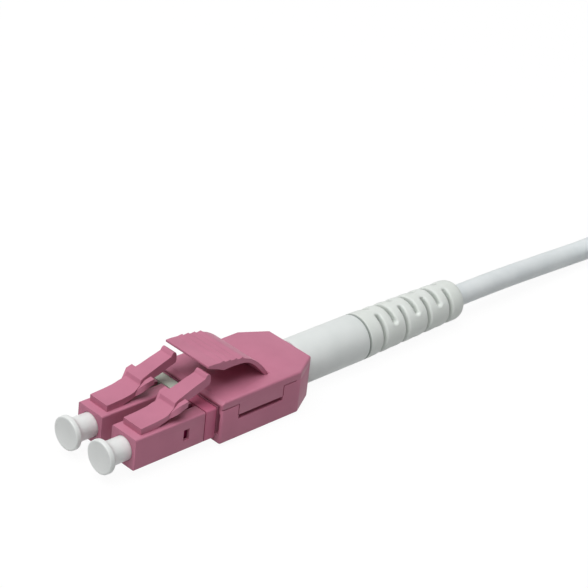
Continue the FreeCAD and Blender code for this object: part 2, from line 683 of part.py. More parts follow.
def strain_boot():
    spigot_r = SLEEVE_R - SLEEVE_WALL - FIT
    bore = CABLE_R + CABLE_CLEAR
    front = SLEEVE_REAR - BOOT_SPIGOT
    face = outline(
        (front, bore), (front, spigot_r), (SLEEVE_REAR, spigot_r),
        (SLEEVE_REAR, SLEEVE_R - 0.02), (SLEEVE_REAR + 0.1, SLEEVE_R),
        (BOOT_REAR - BOOT_ROUND, BOOT_END_R),
        ("curve", (BOOT_REAR - BOOT_ROUND * 0.4, BOOT_END_R),
         (BOOT_REAR, BOOT_END_R - BOOT_ROUND * 0.4), (BOOT_REAR, BOOT_END_R - BOOT_ROUND * 0.9)),
        (BOOT_REAR, bore))
    boot = turned(face)
    for i in range(SIDE_SLOTS):
        x = SLEEVE_REAR + BOOT_SLOT_X + i * BOOT_SLOT_PITCH
        for middle in (0, 180):
            boot = boot.cut(boot_slot(x, middle, SIDE_SLOT_HALF))
    for i in range(TOP_SLOTS):
        x = SLEEVE_REAR + BOOT_SLOT_X + (i + 0.5) * BOOT_SLOT_PITCH
        for middle in (90, 270):
            boot = boot.cut(boot_slot(x, middle, TOP_SLOT_HALF))
    return boot


def cable_core():
    """The jacketed cable inside sleeve and boot."""
    return rod(JACKET_X, BOOT_REAR, CABLE_R)


# ------------------------------------------------------------------ free cable
def rounded_route(points):
    """Straight runs joined by tangent arcs, each as large as its two runs allow."""
    points = [V(*p) for p in points]
    at, edges, radii = points[0], [], []
    for a, b, c in zip(points, points[1:], points[2:]):
        back, ahead = (a - b), (c - b)
        shorter = min(back.Length, ahead.Length)
        back.normalize()
        ahead.normalize()
        half_turn = (math.pi - back.getAngle(ahead)) / 2
        reach = 0.45 * shorter
        radii.append(reach / math.tan(half_turn))
        start, end = b + back * reach, b + ahead * reach
        inward = (back + ahead)
        inward.normalize()
        centre = b + inward * (radii[-1] / math.cos(half_turn))
        middle = centre - inward * radii[-1]
        edges.append(Part.LineSegment(at, start).toShape())
        edges.append(Part.Arc(start, middle, end).toShape())
        at = end
    edges.append(Part.LineSegment(at, points[-1]).toShape())
    print("cable bend radii, mm:", [round(r, 1) for r in radii])
    return Part.Wire(edges)


def cable():
    path = rounded_route(CABLE_ROUTE)
    first = V(*CABLE_ROUTE[1]) - V(*CABLE_ROUTE[0])
    section = Part.Wire(Part.makeCircle(CABLE_R, V(*CABLE_ROUTE[0]), first))
    tube = path.makePipeShell([section], True, False)
    print("cable length %.1f mm, volume %.1f, section times length %.1f" % (
        path.Length, tube.Volume, math.pi * CABLE_R ** 2 * path.Length))
    return tube


def racetrack(half, height):
    """A flat-sided prism with round ends, standing on the table round the hank's middle."""
    middle = V(HANK_X, HANK_Y, 0)
    body = block(0, HANK_RUN, -half, half, 0, height).translated(middle)
    for x in (0, HANK_RUN):
        body = body.fuse(Part.makeCylinder(half, height, middle + V(x, 0, 0)))
    return body.removeSplitter()


def cable_hank():
    """The rest of the cable, folded into a flat-sided hank behind the connector."""
    wide = HANK_TURNS_WIDE * CABLE_R
    high = HANK_TURNS_HIGH * 2 * CABLE_R
    ring = racetrack(HANK_R + wide, high).cut(racetrack(HANK_R - wide, high))
    return ring.makeFillet(CABLE_R * 0.6, ring.Edges)


# ------------------------------------------------------------------ build
for side in SIDES:
    save("plug_housing_" + side, at_plug(plug_housing(), side))
    save("latch_" + side, at_plug(latch(), side))
    save("rear_body_" + side, at_plug(rear_body(), side))
    save("ferrule_" + side, at_plug(ferrule(), side))
    save("ferrule_flange_" + side, at_plug(ferrule_flange(), side))
    save("spring_" + side, at_plug(spring(), side))
    save("fibre_" + side, fibre(side))
    save("dust_cap_" + side, at_plug(dust_cap(), side))
save("lower_body", lower_body())
save("upper_cover", upper_cover())
save("trigger_tab", trigger_tab())
save("crimp_body", crimp_body().translated(CORD_AXIS))
save("aramid_yarn", aramid_yarn().translated(CORD_AXIS))
save("crimp_ring", crimp_ring().translated(CORD_AXIS))
save("boot_sleeve", boot_sleeve().translated(CORD_AXIS))
save("strain_boot", strain_boot().translated(CORD_AXIS))
save("cable_core", cable_core().translated(CORD_AXIS))
save("cable", cable(), moved=False)
save("cable_hank", cable_hank(), moved=False)
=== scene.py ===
import bpy
import bmesh
import math
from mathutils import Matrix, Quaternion, Vector


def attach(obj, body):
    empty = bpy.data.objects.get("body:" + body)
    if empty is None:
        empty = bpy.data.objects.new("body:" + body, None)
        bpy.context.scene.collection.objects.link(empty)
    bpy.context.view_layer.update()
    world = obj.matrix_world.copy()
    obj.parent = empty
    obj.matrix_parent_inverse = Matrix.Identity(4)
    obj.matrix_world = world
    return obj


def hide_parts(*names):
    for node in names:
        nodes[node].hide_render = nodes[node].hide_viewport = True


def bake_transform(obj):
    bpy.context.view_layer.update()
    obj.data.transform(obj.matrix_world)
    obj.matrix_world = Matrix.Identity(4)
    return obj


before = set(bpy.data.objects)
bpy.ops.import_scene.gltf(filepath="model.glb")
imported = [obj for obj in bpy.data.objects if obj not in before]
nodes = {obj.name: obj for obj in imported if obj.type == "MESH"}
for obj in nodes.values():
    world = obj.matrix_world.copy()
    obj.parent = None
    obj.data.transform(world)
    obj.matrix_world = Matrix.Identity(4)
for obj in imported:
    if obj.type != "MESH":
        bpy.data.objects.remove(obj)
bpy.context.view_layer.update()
scene = bpy.context.scene
scene.view_settings.view_transform = "Standard"
MM = 0.001


# ---------------------------------------------------------------- camera, floor and light
# A long lens looks down at the plugs from their front right.  A white table keeps a faint
# shadow, and one large soft lamp stands above and ahead of the dust caps.
class Wire:
    """An output socket of a finish, used like a number."""

    def __init__(self, finish, socket):
        self.finish = finish
        self.socket = socket

    def work(self, operation, a, b):
        return self.finish.add("Math", {"operation": operation}, a, b)

    def __add__(self, other):
        return self.work("ADD", self, other)

    def __radd__(self, other):
        return self.work("ADD", other, self)

    def __sub__(self, other):
        return self.work("SUBTRACT", self, other)

    def __rsub__(self, other):
        return self.work("SUBTRACT", other, self)

    def __mul__(self, other):
        return self.work("MULTIPLY", self, other)

    def __rmul__(self, other):
        return self.work("MULTIPLY", other, self)


class Finish:
    """A node material under construction."""

    def __init__(self, name, world=False):
        if world:
            self.data = bpy.data.worlds.new(name)
        else:
            self.data = bpy.data.materials.new(name)
        self.data.use_nodes = True
        self.tree = self.data.node_tree
        self.tree.nodes.clear()

    def add(self, kind, settings=None, *values, out=0, **named):
        """A node with its settings, then the values or links of its sockets."""
        node = self.tree.nodes.new("ShaderNode" + kind)
        for key, setting in (settings or {}).items():
            setattr(node, key, setting)
        for place, value in list(enumerate(values)) + list(named.items()):
            name = place if isinstance(place, int) else place.replace("_", " ")
            self.feed(node.inputs[name], value)
        return Wire(self, node.outputs[out]) if len(node.outputs) else node

    def feed(self, socket, value):
        """Link an output to a socket, or write a plain value there."""
        if isinstance(value, Wire):
            self.tree.links.new(value.socket, socket)
        elif value is not None:
            if socket.type == "RGBA" and len(value) == 3:
                value = (*value, 1)
            socket.default_value = value

    def mixed(self, factor, a, b):
        """Two colours blended by a factor."""
        node = self.tree.nodes.new("ShaderNodeMix")
        node.data_type = "RGBA"
        for place, value in ((0, factor), (6, a), (7, b)):
            self.feed(node.inputs[place], value)
        return Wire(self, node.outputs[2])

    def done(self, surface):
        """Close a material with its surface."""
        self.add("OutputMaterial", None, surface)
        return self.data


def placed(name, data):
    """An object with this data, in the scene."""
    made = bpy.data.objects.new(name, data)
    scene.collection.objects.link(made)
    return made


def facing(place, target):
    """The turn that points a camera or a lamp at a target."""
    return (target - place).to_track_quat("-Z", "Y")


CAMERA_PLACE = Vector((-173.5, -162.6, 143.25)) * MM
CAMERA_TARGET = Vector((13.96, 12.74, 3.4)) * MM
CAMERA_ROLL = 6.49  # degrees
camera_data = bpy.data.cameras.new("camera")
camera_data.lens = 132.43
camera_data.sensor_width = 36
camera_data.clip_start = 0.01
camera = placed("camera", camera_data)
camera.rotation_mode = "QUATERNION"
camera.rotation_quaternion = (facing(CAMERA_PLACE, CAMERA_TARGET)
                              @ Quaternion((0, 0, 1), math.radians(CAMERA_ROLL)))
camera.location = CAMERA_PLACE
scene.camera = camera


def seen(finish):
    """1 for what the lens sees, straight, mirrored or through glass."""
    straight, mirrored, through = (finish.add("LightPath", out=ray) for ray in (
        "Is Camera Ray", "Is Glossy Ray", "Is Transmission Ray"))
    return finish.add("Math", {"operation": "MAXIMUM"}, straight,
                      finish.add("Math", {"operation": "MAXIMUM"}, mirrored, through))


TABLE_GREY = 0.58   # as it lights the object
TABLE_FAINT = 0.07  # as it takes the object's shadow where it is seen
TABLE_GLOW = 0.945  # and is white for the rest
white_table = Finish("white_table")
table_base = white_table.add("BsdfDiffuse", None, (TABLE_GREY,) * 3)
table_seen = white_table.add("AddShader", None,
                             white_table.add("BsdfDiffuse", None, (TABLE_FAINT,) * 3),
                             white_table.add("Emission", None, (1, 1, 1), TABLE_GLOW))
white_table.done(white_table.add("MixShader", None, seen(white_table), table_base, table_seen))

TABLE_HALF = 3.0  # metres
table_mesh = bpy.data.meshes.new("table")
table_mesh.from_pydata([(x * TABLE_HALF, y * TABLE_HALF, 0)
                        for x, y in ((-1, -1), (1, -1), (1, 1), (-1, 1))], [], [(0, 1, 2, 3)])
table_mesh.materials.append(white_table.data)
placed("table", table_mesh)

ROOM_STRENGTH = 0.11
room = Finish("room", world=True)
room_light = room.add("Background", None, (0.95, 0.98, 1.0), ROOM_STRENGTH)
room_seen = room.add("Background", None, (1, 1, 1), 1.0)
room.add("OutputWorld", None, room.add("MixShader", None, seen(room), room_light, room_seen))
scene.world = room.data

lamp_data = bpy.data.lights.new("softbox", "AREA")
lamp_data.shape = "RECTANGLE"
lamp_data.size = 0.8
lamp_data.size_y = 0.9
lamp_data.energy = 7.6
lamp = placed("softbox", lamp_data)
lamp.location = Vector((-0.27, -0.03, 0.77))
lamp.rotation_mode = "QUATERNION"
lamp.rotation_quaternion = facing(lamp.location, Vector((0, 0, 0)))


# ---------------------------------------------------------------- cable
# Round white jacket, 3 mm across, over two buffered fibres and strength yarn.  It leaves
# the boot level, sinks to the table and is folded into a hank, two turns wide and four high.
CABLE_R = 1.5
CABLE_ROUTE = [
    (32.97, 0.0, 3.2),
    (40.5, 0.0, 3.2),
    (53.5, 0.35, 2.35),
    (65.5, 0.45, 1.7),
    (74.5, 3.0, 1.52),
    (84.0, 3.0, 1.5),
]
HANK_X = 73.0   # middle of its near fold
HANK_Y = -9.0
HANK_RUN = 35.5
HANK_R = 10.6   # of a fold, between its two turns side by side
HANK_LAYERS = 4
HANK_KEYS = [   # quarter turns wound (run, fold, run, fold), outer or inner turn, layer
    (0, 1, 0), (2.5, 1, 0), (3, -1, 0), (6, -1, 0), (6.5, -1, 1), (9, -1, 1), (10, 1, 1),
    (12.5, 1, 1), (13, 1, 2), (16, 1, 2), (16.5, -1, 2), (19, -1, 2), (20, -1, 3),
    (22.5, -1, 3), (23, 1, 3), (26.4, 1, 3),
]
HANK_START = 0.6  # quarter turns at its first point; the cable's own route leads there
FOLD_POINTS = 6
FOLD_PULL = math.cos(math.pi / FOLD_POINTS / 2)  # a point stands outside its arc
RUN_SHARES = (0.09, 0.5, 0.91)  # places of the points along a run


def wound(quarters):
    """Fold radius and height of the hank after so many quarter turns."""
    for (a, turn0, layer0), (b, turn1, layer1) in zip(HANK_KEYS, HANK_KEYS[1:]):
        if quarters <= b:
            t = (quarters - a) / (b - a)
            t = t * t * (3 - 2 * t)
            turn = turn0 + (turn1 - turn0) * t
            layer = layer0 + (layer1 - layer0) * t
            return HANK_R + CABLE_R * turn, CABLE_R * (1 + 2 * layer)


def hank_point(quarters):
    """Place on the hank: along one run, round the far fold, back, round the near fold."""
    radius, height = wound(quarters)
    leg, share = int(quarters % 4), quarters % 1
    if leg in (0, 2):
        side = 1 - leg
        x = HANK_RUN * (share if leg == 0 else 1 - share)
        return Vector((HANK_X + x, HANK_Y + side * radius, height)) * MM
    turn = math.pi * (share if leg == 1 else share + 1)
    x = HANK_RUN if leg == 1 else 0
    return Vector((HANK_X + x + radius / FOLD_PULL * math.sin(turn),
                   HANK_Y + radius / FOLD_PULL * math.cos(turn), height)) * MM


HANK_END = HANK_KEYS[-1][0]
route = [Vector(p) * MM for p in CABLE_ROUTE]
for leg in range(math.ceil(HANK_END)):
    shares = [(i + 0.5) / FOLD_POINTS for i in range(FOLD_POINTS)] if leg % 2 else RUN_SHARES
    route += [hank_point(leg + share) for share in shares
              if HANK_START < leg + share < HANK_END]

cable_line = bpy.data.curves.new("cable_jacket", "CURVE")
cable_line.dimensions = "3D"
spline = cable_line.splines.new("NURBS")
spline.points.add(len(route) - 1)
for point, place in zip(spline.points, route):
    point.co = (*place, 1)
spline.order_u = 3
spline.use_endpoint_u = True
spline.resolution_u = 8
cable_line.bevel_depth = CABLE_R * MM
cable_line.bevel_resolution = 6
cable_line.use_fill_caps = True
cable_jacket = placed("cable_jacket", cable_line)


def finish_piece(piece, body, slot, material, *replaced):
    """Give a piece its material, the nodes that it replaces and the body that it
    rides on; the slot is not used.  A piece given no body rides on none."""
    piece.data.materials.clear()
    piece.data.materials.append(material)
    if replaced:
        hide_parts(*replaced)
    if body:
        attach(piece, body)
    return piece


def grain(finish, scale, detail=2):
    """Even noise over a piece; the scale is in lumps a metre."""
    at = finish.add("TexCoord", out="Object")
    return finish.add("TexNoise", None, Vector=at, Scale=scale, Detail=detail)


CLOUD_SCALE = 260  # flow clouds, in lumps a metre
SEAM_HALF = 0.1    # mm to each side of a seam that are darkened with painted shade
# colour of the painted shade in the seam, where the gap's shadow falls
SEAM_PAINTED_SHADE = (0.40, 0.43, 0.41)


def moulded(name, colour, shade, roughness, grain_size=0.12, relief=0.004, depth=0.0,
            shine=0.5, seam=None):
    """Moulded plastic: faint flow clouds in the colour and a fine spark-eroded grain.
    Sizes are in mm: the grain's, its relief, the depth in which light wanders inside the
    plastic, and the place along X of a seam darkened with painted shade."""
    finish = Finish(name)
    clouds = grain(finish, CLOUD_SCALE, 3)
    fine = grain(finish, 1000 / grain_size)
    blotches = finish.add("MapRange", None, clouds, 0.35, 0.65, 0.0, 1.0)
    base = finish.mixed(blotches, colour, shade)
    # Painted shade: a band round the seam's place along X is darkened.
    if seam:
        along = finish.add("SeparateXYZ", None, finish.add("TexCoord", out="Object"))
        off = finish.add("Math", {"operation": "ABSOLUTE"}, along - seam * MM)
        seam_shade_mask = finish.add("MapRange", None, off, SEAM_HALF * MM, 2 * SEAM_HALF * MM, 1.0, 0.0)
        base = finish.mixed(seam_shade_mask, base, SEAM_PAINTED_SHADE)
    lumps = finish.add("Bump", None, Strength=0.5, Distance=relief * MM,
                       Height=fine + clouds * 2)
    body = finish.add("BsdfPrincipled", None, Base_Color=base, Normal=lumps,
                      Roughness=roughness + (fine - 0.5) * 0.12 + (clouds - 0.5) * 0.1,
                      Subsurface_Weight=0.3 if depth else 0.0, Subsurface_Scale=depth * MM,
                      Subsurface_Radius=(1.0, 1.0, 1.0), Specular_IOR_Level=shine)
    return finish.done(body)


jacket = moulded("jacket", (0.80, 0.835, 0.84), (0.74, 0.78, 0.79), 0.45,
                 grain_size=0.25, relief=0.006, depth=0.3)
finish_piece(cable_jacket, "connector", "jacket", jacket, "cable", "cable_hank")


# ---------------------------------------------------------------- crimp body, ring and yarn
# A turned nickel-plated tube grips the cable inside the housing.  The cable's yarn is folded
# back over it and a thin ring is crimped on top.  All of it sits inside the sleeve.
LATHE_RINGS = 60000  # radians a metre


def metal(name, colour, roughness, turned=0.0):
    """Plated metal; turned is how much its lathe rings about the long axis show."""
    finish = Finish(name)
    along = finish.add("SeparateXYZ", None, finish.add("TexCoord", out="Object"))
    rings = finish.add("Math", {"operation": "SINE"}, along * LATHE_RINGS) * turned
    spots = grain(finish, 900, 4)
    lumps = finish.add("Bump", None, Strength=0.3, Distance=0.002 * MM,
                       Height=rings + grain(finish, 12000))
    body = finish.add("BsdfPrincipled", None, Base_Color=colour, Metallic=1.0,
                      Roughness=roughness + (spots - 0.5) * 0.2, Normal=lumps)
    return finish.done(body)


nickel = metal("nickel", (0.62, 0.60, 0.56), 0.3, turned=0.4)


def weave(name, colour, shade):
    """Loose aramid yarn laid along the crimp body."""
    finish = Finish(name)
    at = finish.add("VectorMath", {"operation": "MULTIPLY"},
                    finish.add("TexCoord", out="Object"), (60, 1, 1))
    strands = finish.add("TexNoise", None, Vector=at, Scale=9000, Detail=2)
    lumps = finish.add("Bump", None, Strength=0.8, Distance=0.02 * MM, Height=strands)
    body = finish.add("BsdfPrincipled", None, Base_Color=finish.mixed(strands, colour, shade),
                      Roughness=0.7, Normal=lumps)
    return finish.done(body)


def dress(material, *names):
    """Give CAD nodes that show as they are their finish."""
    for name in names:
        mesh = nodes[name].data
        mesh.materials.clear()
        mesh.materials.append(material)


aramid = weave("aramid", (0.80, 0.58, 0.13), (0.62, 0.40, 0.07))
dress(nickel, "crimp_body", "crimp_ring")
dress(aramid, "aramid_yarn")
dress(jacket, "cable_core")


# ---------------------------------------------------------------- boot sleeve and boot
# A plain white sleeve covers the crimp, and the boot's spigot plugs into its rear.  The boot
# is a soft moulding that bends: rows of slots, each open to the cable, cross on its sides
# and on its top and bottom, and leave narrow rings between them.
SLEEVE_X = 0.67
SLEEVE_R = 3.2
SLEEVE_WALL = 0.48
SLEEVE_EDGE = 0.26  # its rear edge is turned down, so that a seam shows against the boot
BOOT_X = 12.67
BOOT_LENGTH = 19.0
BOOT_NOSE = 1.1     # length of its rounded end
BOOT_NOSE_DROP = 0.85
BOOT_END_R = 2.85
BOOT_BORE = 1.55
SPIGOT_R = 2.66
SPIGOT_LENGTH = 1.8
CORD_Z = 3.2        # height of the cable's middle line in the boot
CORNER_STEPS = 4


def new_piece(name, mesh, body, slot, material, *replaced):
    """Put a finished mesh in the scene as a piece of the object."""
    return finish_piece(placed(name, mesh), body, slot, material, *replaced)


def grid_mesh(name, rows, closed_rows=False):
    """A mesh over rows of points, each row joined round; with closed_rows the last row
    joins the first, as on a tube with a bore."""
    bm = bmesh.new()
    made = [[bm.verts.new(Vector(p) * MM) for p in row] for row in rows]
    count = len(made)
    for i in range(count if closed_rows else count - 1):
        a, b = made[i], made[(i + 1) % count]
        for j in range(len(a)):
            k = (j + 1) % len(a)
            bm.faces.new((a[j], a[k], b[k], b[j]))
    return finish_mesh(bm, name)


def finish_mesh(bm, name, merge=1e-7):
    """Merge a mesh's doubles, point its faces outwards and keep it."""
    bmesh.ops.remove_doubles(bm, verts=bm.verts, dist=merge)
    bmesh.ops.dissolve_degenerate(bm, edges=bm.edges, dist=merge)
    bmesh.ops.recalc_face_normals(bm, faces=bm.faces)
    for face in bm.faces:
        face.smooth = True
    mesh = bpy.data.meshes.new(name)
    bm.to_mesh(mesh)
    bm.free()
    return mesh


def ring_of(x, radius, steps, y, z):
    """Points of a circle about an axis along X."""
    return [(x, y + radius * math.cos(2 * math.pi * j / steps),
             z + radius * math.sin(2 * math.pi * j / steps)) for j in range(steps)]


def lathe(name, profile, steps, y=0.0, z=CORD_Z):
    """Turn a closed profile of (x, radius) about an axis along X."""
    return grid_mesh(name, [ring_of(x, r, steps, y, z) for x, r in profile], True)


def rounded(points, radius):
    """A closed outline of (x, r) with its corners rounded, apart from those at r = 0."""
    out = []
    count = len(points)
    for i, (x, r) in enumerate(points):
        before, here, after = (Vector(points[(i + k) % count]) for k in (-1, 0, 1))
        size = min(radius, 0.45 * (before - here).length, 0.45 * (after - here).length)
        if r < 1e-6 or size < 1e-4:
            out.append((x, r))
            continue
        a = here + (before - here).normalized() * size
        b = here + (after - here).normalized() * size
        for k in range(CORNER_STEPS + 1):
            t = k / CORNER_STEPS
            out.append(tuple(a * (1 - t) ** 2 + here * 2 * t * (1 - t) + b * t * t))
    return out


white_plastic = moulded("white_plastic", (0.80, 0.83, 0.815), (0.75, 0.785, 0.77), 0.42,
                        grain_size=0.2, depth=0.4)
sleeve_profile = rounded([
    (SLEEVE_X, SLEEVE_R), (BOOT_X - SLEEVE_EDGE, SLEEVE_R),
    (BOOT_X - 0.3 * SLEEVE_EDGE, SLEEVE_R - 0.3 * SLEEVE_EDGE),
    (BOOT_X, SLEEVE_R - 1.3 * SLEEVE_EDGE), (BOOT_X, SLEEVE_R - SLEEVE_WALL),
    (SLEEVE_X, SLEEVE_R - SLEEVE_WALL)], 0.13)
new_piece("sleeve", lathe("sleeve", sleeve_profile, 96), "connector", "white_plastic",
          white_plastic, "boot_sleeve")

SLOT = 0.64
SLOT_X = 2.95      # middle of the first pair
SLOT_PITCH = 4.37
SIDE_SLOTS = 4     # pairs on the sides, and one pair fewer on the top and bottom
SIDE_HALF = 75.0   # degrees that a slot runs to each side of its middle
TOP_HALF = 55.0
SLOT_ROUND = 0.3   # radius of a slot's outer edge
SLOT_WALL = 0.03   # thickness in which the outside falls to the bore
WAIST, WAIST_REACH = 0.04, 0.5  # the rings sink towards the slots
RIM, RIM_PLACE, RIM_REACH = 0.06, 0.4, 0.16  # and swell round the ends of the top slots
slots = [(SLOT_X + i * SLOT_PITCH, side, SIDE_HALF)
         for i in range(SIDE_SLOTS) for side in (0, 180)]
slots += [(SLOT_X + (i + 0.5) * SLOT_PITCH, side, TOP_HALF)
          for i in range(SIDE_SLOTS - 1) for side in (90, 270)]


def boot_radius(x):
    """Radius of the unslotted boot, x from its front shoulder."""
    nose = BOOT_LENGTH - x
    if nose < BOOT_NOSE:
        t = 1 - nose / BOOT_NOSE
        return BOOT_END_R - BOOT_NOSE_DROP * (1 - math.sqrt(max(1 - t * t, 0)))
    return SLEEVE_R + (BOOT_END_R - SLEEVE_R) * x / (BOOT_LENGTH - BOOT_NOSE)


def slot_distance(x, angle, slot):
    """How far a place on the boot is outside a slot's outline, in mm, and how far it is
    past the slot's straight stretch."""
    middle_x, middle, half = slot
    r = boot_radius(middle_x)
    straight = math.radians(half) * r - SLOT / 2
    turn = abs((angle - middle + 180) % 360 - 180)
    along = max(math.radians(turn) * r - straight, 0)
    return math.hypot(x - middle_x, along) - SLOT / 2, along


def boot_surface(x, angle):
    """Radius of the boot's outside at a place, down to its bore inside a slot."""
    r = boot_radius(x)
    gap, along, slot = min(((*slot_distance(x, angle, s), s) for s in slots),
                           key=lambda near: near[0])
    if gap >= 0:
        waist = WAIST * math.exp(-(gap / WAIST_REACH) ** 2)
        edge = max(1 - gap / SLOT_ROUND, 0)
        lip = SLOT_ROUND * (1 - math.sqrt(1 - edge ** 2))
        rim = 0
        if slot[2] == TOP_HALF:
            rim = RIM * math.exp(-((gap - RIM_PLACE) / RIM_REACH) ** 2)
        return r - waist - lip + rim * min(along / SLOT_ROUND, 1)
    if gap > -SLOT_WALL:
        return r - SLOT_ROUND + (BOOT_BORE - r + SLOT_ROUND) * (-gap / SLOT_WALL)
    return BOOT_BORE


def boot_columns():
    """Places of the boot's rows: close together at each slot's edges and on the nose."""
    xs = []
    for i in range(2 * SIDE_SLOTS - 1):
        middle = SLOT_X + i * SLOT_PITCH / 2
        for gap in (0, 0.015, 0.03, 0.06, 0.1, 0.15, 0.22, 0.3, 0.4, 0.5, 0.62,
                    -SLOT_WALL, -0.12, -0.3, -SLOT / 2):
            xs += [middle - SLOT / 2 - gap, middle + SLOT / 2 + gap]
    xs += [BOOT_LENGTH - BOOT_NOSE * (1 - math.sin(math.pi / 2 * i / 10)) for i in range(11)]
    xs += [0.3, 0.6, 0.9, 1.2, 1.5] + [BOOT_LENGTH - v for v in (1.3, 1.6, 2.0)]
    xs = sorted(round(x, 4) for x in xs)
    return [x for i, x in enumerate(xs) if i == 0 or x - xs[i - 1] > 0.004]


BOOT_STEPS = 168
BOOT_GAP = 0.15  # width of the seam between the sleeve and the boot
angles = [360 * j / BOOT_STEPS for j in range(BOOT_STEPS)]
shoulder = ((-SPIGOT_LENGTH, SPIGOT_R), (BOOT_GAP, SPIGOT_R), (BOOT_GAP, 3.02), (0.18, 3.1),
            (0.23, 3.16))
outside = [(x, [r] * BOOT_STEPS) for x, r in shoulder]
outside += [(x, [boot_surface(x, a) for a in angles]) for x in boot_columns()]


def boot_row(x, radii):
    """Points round the boot at x from its shoulder, with a radius for each angle."""
    return [(BOOT_X + x, r * math.cos(math.radians(a)), CORD_Z + r * math.sin(math.radians(a)))
            for a, r in zip(angles, radii)]


# Its outside and its bore are joined at both ends, and left open together in every slot.
bm = bmesh.new()
outer = [[bm.verts.new(Vector(p) * MM) for p in boot_row(*row)] for row in outside]
inner = [[bm.verts.new(Vector(p) * MM) for p in boot_row(x, [BOOT_BORE] * BOOT_STEPS)]
         for x, radii in outside]
open_at = {(i, j) for i, (x, radii) in enumerate(outside) for j, r in enumerate(radii)
           if r <= BOOT_BORE + 1e-6}
for i in range(len(outside) - 1):
    for j in range(BOOT_STEPS):
        k = (j + 1) % BOOT_STEPS
        if {(i, j), (i, k), (i + 1, j), (i + 1, k)} <= open_at:
            continue
        bm.faces.new((outer[i][j], outer[i][k], outer[i + 1][k], outer[i + 1][j]))
        bm.faces.new((inner[i][j], inner[i + 1][j], inner[i + 1][k], inner[i][k]))
for i in (0, -1):
    for j in range(BOOT_STEPS):
        k = (j + 1) % BOOT_STEPS
        bm.faces.new((outer[i][j], inner[i][j], inner[i][k], outer[i][k]))
boot_mesh = finish_mesh(bm, "boot", merge=1e-6)
# Its seam with the sleeve gets a band of painted shade.
boot_white = moulded("boot_elastomer", (0.81, 0.845, 0.81), (0.76, 0.795, 0.755), 0.5,
                     grain_size=0.2, depth=0.4, seam=BOOT_X + 0.1)
new_piece("boot", boot_mesh, "connector", "boot_elastomer", boot_white, "strain_boot")


# ---------------------------------------------------------------- fibres, ferrules, springs
# Two buffered fibres run from the cable to zirconia ferrules.  Each ferrule is held in a
# nickel-plated flange, which a wire spring presses forward inside its plug.  The spring's
# rear end stays on its seat, and its front end goes back with the flange.
def ceramic(name, colour, shade):
    """Ground and polished ceramic under a clear gloss."""
    finish = Finish(name)
    fine = grain(finish, 30000)
    lumps = finish.add("Bump", None, Strength=0.1, Distance=0.001 * MM, Height=fine)
    body = finish.add("BsdfPrincipled", None, Base_Color=finish.mixed(fine, colour, shade),
                      Roughness=0.12 + fine * 0.06, Coat_Weight=0.5, Normal=lumps)
    return finish.done(body)


SIDES = {"right": -1, "left": 1}
zirconia = ceramic("zirconia", (0.80, 0.81, 0.82), (0.86, 0.87, 0.88))
steel = metal("spring_steel", (0.55, 0.55, 0.56), 0.25)
buffer = moulded("fibre_buffer", (0.78, 0.79, 0.76), (0.70, 0.71, 0.68), 0.4,
                 grain_size=0.15)
for side in SIDES:
    coil = "coil_" + side
    dress(zirconia, "ferrule_" + side)
    dress(nickel, "ferrule_flange_" + side)
    dress(buffer, "fibre_" + side)
    bm = bmesh.new()
    bm.from_mesh(nodes["spring_" + side].data)
    spring = new_piece(coil, finish_mesh(bm, coil), None, "spring_steel", steel,
                       "spring_" + side)
    low, high = ([pick(v.co[axis] for v in spring.data.vertices) for axis in range(3)]
                 for pick in (min, max))
    y, z = (low[1] + high[1]) / 2, (low[2] + high[2]) / 2
    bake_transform(spring)


# ---------------------------------------------------------------- rear bodies of the plugs
# Each plug is closed from behind by a collar with a square nose that snaps into it.  The two
# collars are moulded in different colours, crimson and grey-green, to tell the fibres apart.
PLUG_X = -29.33    # front of the plugs
PLUG_Z = 3.4       # height of the ferrules' axes
MOULD_EDGE = 0.06  # width of the bevel that breaks the moulded edges


def cutter_box(box):
    """A box (x, x, y, y, z, z) to carve with, in mm from the plugs' front and axes."""
    bm = bmesh.new()
    bmesh.ops.create_cube(bm, size=1.0)
    for vert in bm.verts:
        for axis, shift in enumerate((PLUG_X, 0.0, PLUG_Z)):
            low, high = box[2 * axis:2 * axis + 2]
            vert.co[axis] = (shift + (high if vert.co[axis] > 0 else low)) * MM
    mesh = bpy.data.meshes.new("cutter")
    bm.to_mesh(mesh)
    bm.free()
    return placed("cutter", mesh)


def baked(piece):
    """Put the plain mesh that a piece's modifiers make in the place of its own."""
    depsgraph = bpy.context.evaluated_depsgraph_get()
    result = bpy.data.meshes.new_from_object(piece.evaluated_get(depsgraph))
    piece.modifiers.clear()
    old = piece.data
    piece.data = result
    result.name = old.name
    bpy.data.meshes.remove(old)


def bevelled(piece, width, segments=2, angle=35):
    """Break hard edges, then keep flats flat in the shading."""
    bevel = piece.modifiers.new("bevel", "BEVEL")
    bevel.width = width * MM
    bevel.segments = segments
    bevel.limit_method = "ANGLE"
    bevel.angle_limit = math.radians(angle)
    bevel.harden_normals = True
    bevel.use_clamp_overlap = True
    baked(piece)


